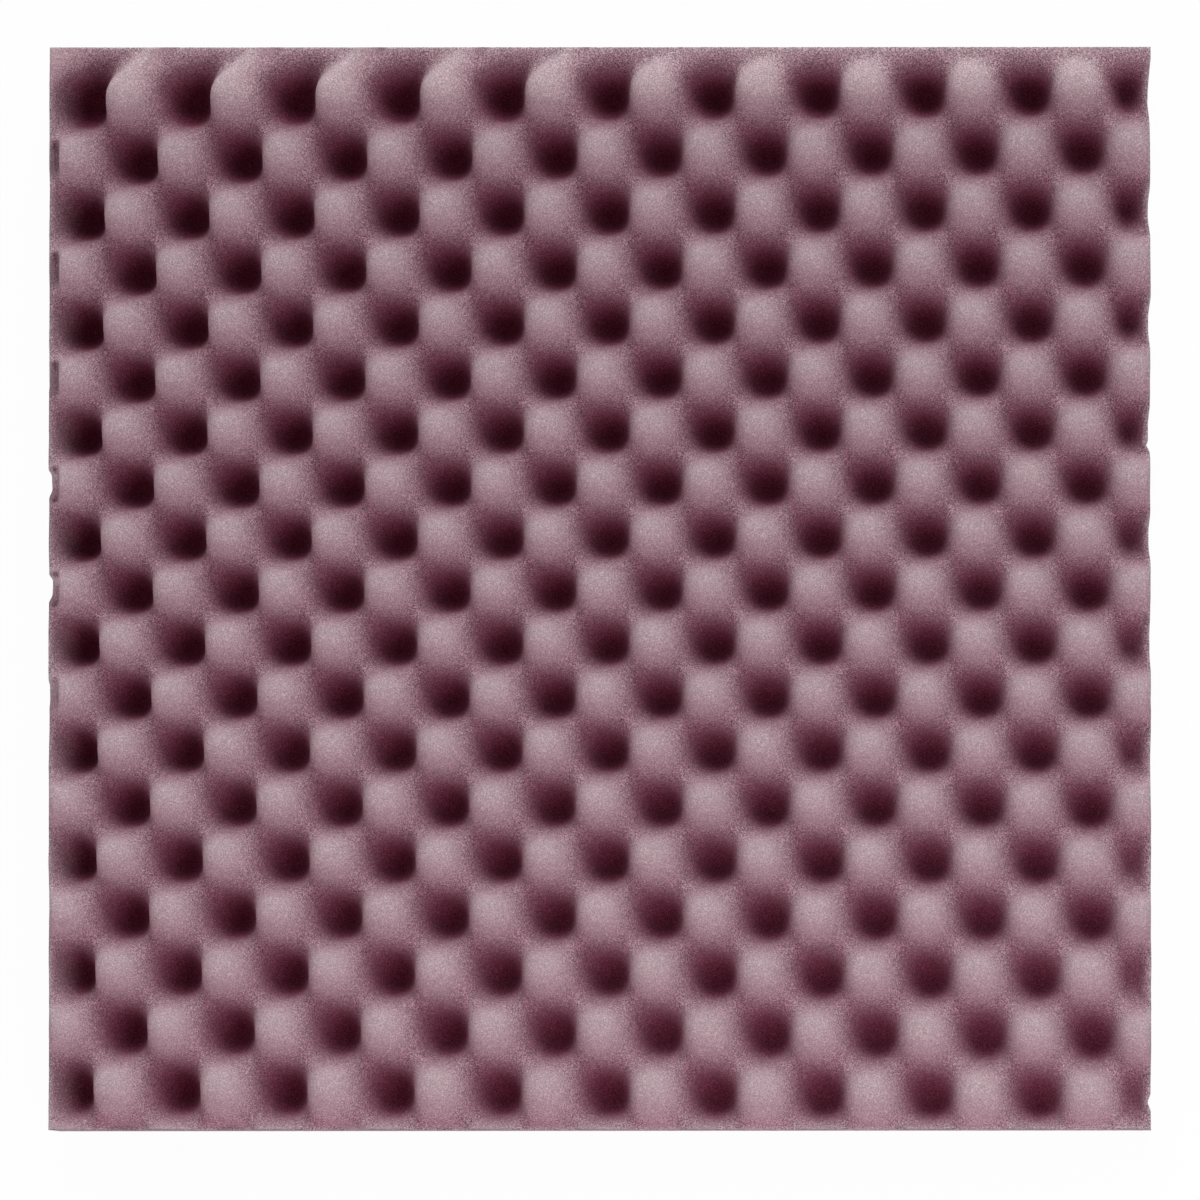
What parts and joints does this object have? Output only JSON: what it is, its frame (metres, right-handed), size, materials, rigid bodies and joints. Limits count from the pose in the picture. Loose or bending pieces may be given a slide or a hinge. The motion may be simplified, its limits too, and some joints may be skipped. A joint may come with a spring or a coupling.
{
  "type": "acoustic foam panel",
  "caption": "Square sound-absorbing foam tile with an egg-crate front and a self-adhesive back under a split peel-off liner.",
  "frame": {"origin": "centre of the panel's flat back, on the underside of the release liner", "axes": "+Z out of the egg-crate front, the way sound comes in; +X to the right and +Y up when the panel hangs on a wall and is seen from the front"},
  "size_m": [0.5, 0.491, 0.0503],
  "materials": {
    "foam": "matte open-cell polyurethane foam, dusty burgundy",
    "adhesive": "tacky pressure-sensitive acrylic film with a cloudy sheen",
    "liner": "silicone-coated release paper, satin"
  },
  "bodies": {
    "panel": {"foam_slab": "foam", "adhesive_film": "adhesive"},
    "liner_wide": {"release_liner_wide": "liner"},
    "liner_narrow": {"release_liner_narrow": "liner"}
  },
  "joints": [
    {"name": "peel_wide", "type": "slide", "parent": "panel", "child": "liner_wide", "axis": [-1, 0, 0], "range_m": [0, 0.32]},
    {"name": "peel_narrow", "type": "slide", "parent": "panel", "child": "liner_narrow", "axis": [1, 0, 0], "range_m": [0, 0.2]}
  ]
}
